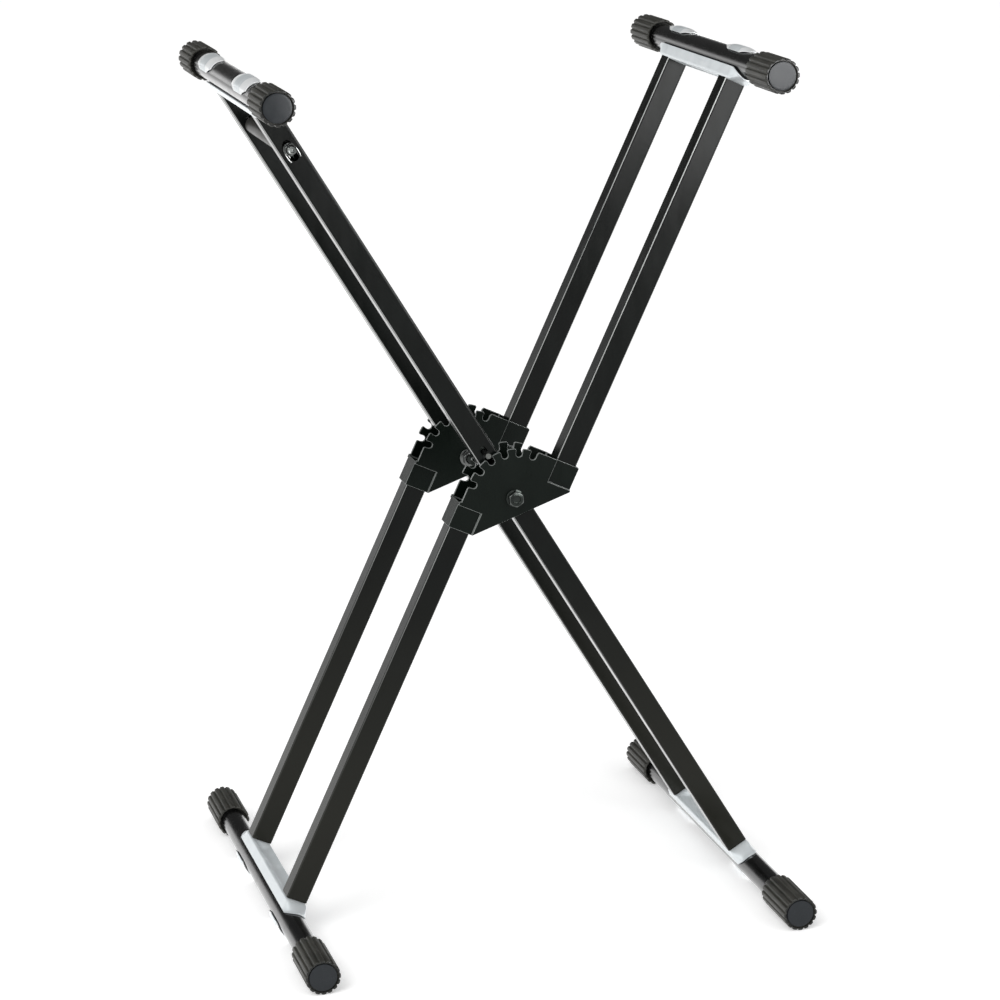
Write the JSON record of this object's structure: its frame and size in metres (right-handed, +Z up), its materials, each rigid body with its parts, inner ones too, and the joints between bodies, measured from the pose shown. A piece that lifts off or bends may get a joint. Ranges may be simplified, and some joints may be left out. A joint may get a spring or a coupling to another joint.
{
  "type": "keyboard stand",
  "caption": "Folding X-braced stand: paired offset legs on a toothed locking hinge, ribbed rubber bar ends, zinc saddles and a pull-up release handle.",
  "frame": {"origin": "on the floor, under the middle of the pivot line", "axes": "+Z up, Y along the crossbars and the pivot line with +Y toward the rear, +X toward the side that the outer frame's top leans to"},
  "size_m": [0.5192, 0.512, 0.8549],
  "materials": {
    "black_powder_coat": "satin black powder coat",
    "black_bracket_paint": "satin black paint",
    "black_steel": "blackened steel",
    "bright_zinc": "bright zinc plating",
    "zinc_hardware": "zinc plating",
    "cap_rubber": "matte moulded rubber",
    "disc_plastic": "matte moulded plastic",
    "grip_plastic": "matte moulded plastic",
    "nylon": "natural nylon",
    "spring_steel": "bare drawn steel"
  },
  "bodies": {
    "outer_frame": {"outer_upper_leg_front": "black_powder_coat", "outer_lower_leg_front": "black_powder_coat", "hinge_bracket_front": "black_bracket_paint", "pivot_bolt_front": "black_steel", "pivot_nut_front": "zinc_hardware", "outer_upper_leg_rear": "black_powder_coat", "outer_lower_leg_rear": "black_powder_coat", "hinge_bracket_rear": "black_bracket_paint", "pivot_bolt_rear": "black_steel", "pivot_nut_rear": "zinc_hardware", "outer_top_crossbar": "black_powder_coat", "outer_top_saddle": "bright_zinc", "outer_top_clamp_plate_front": "bright_zinc", "outer_top_cap_front": "cap_rubber", "outer_top_end_disc_front": "disc_plastic", "outer_top_clamp_plate_rear": "bright_zinc", "outer_top_cap_rear": "cap_rubber", "outer_top_end_disc_rear": "disc_plastic", "outer_base_crossbar": "black_powder_coat", "outer_base_saddle": "bright_zinc", "outer_base_clamp_plate_front": "bright_zinc", "outer_base_cap_front": "cap_rubber", "outer_base_end_disc_front": "disc_plastic", "outer_base_clamp_plate_rear": "bright_zinc", "outer_base_cap_rear": "cap_rubber", "outer_base_end_disc_rear": "disc_plastic"},
    "inner_frame": {"inner_leg_front": "black_powder_coat", "pivot_bush_front_outside": "nylon", "pivot_bush_front_inside": "nylon", "return_spring_front": "spring_steel", "spring_stop_front": "nylon", "inner_leg_rear": "black_powder_coat", "pivot_bush_rear_outside": "nylon", "pivot_bush_rear_inside": "nylon", "return_spring_rear": "spring_steel", "spring_stop_rear": "nylon", "inner_top_crossbar": "black_powder_coat", "inner_top_saddle": "bright_zinc", "inner_top_clamp_plate_front": "bright_zinc", "inner_top_cap_front": "cap_rubber", "inner_top_end_disc_front": "disc_plastic", "inner_top_clamp_plate_rear": "bright_zinc", "inner_top_cap_rear": "cap_rubber", "inner_top_end_disc_rear": "disc_plastic", "inner_base_crossbar": "black_powder_coat", "inner_base_saddle": "bright_zinc", "inner_base_clamp_plate_front": "bright_zinc", "inner_base_cap_front": "cap_rubber", "inner_base_end_disc_front": "disc_plastic", "inner_base_clamp_plate_rear": "bright_zinc", "inner_base_cap_rear": "cap_rubber", "inner_base_end_disc_rear": "disc_plastic"},
    "release": {"release_handle_rod": "zinc_hardware", "release_grip": "grip_plastic", "release_handle_nut_front": "zinc_hardware", "lock_pin_front": "zinc_hardware", "pull_rod_front": "spring_steel", "release_handle_nut_rear": "zinc_hardware", "lock_pin_rear": "zinc_hardware", "pull_rod_rear": "spring_steel"}
  },
  "joints": [
    {"name": "leg_pivot", "type": "hinge", "parent": "outer_frame", "child": "inner_frame", "pos_m": [0, 0, 0.42745], "axis": [0, 1, 0], "range_deg": [-37.6, 56.4]},
    {"name": "release_pull", "type": "slide", "parent": "inner_frame", "child": "release", "axis": [-0.5042, 0, 0.8636], "range_m": [-0.0088, 0.005], "stiffness_N_per_m": 1200, "springref_m": -0.02, "deforming": ["return_spring_front", "return_spring_rear"]}
  ]
}
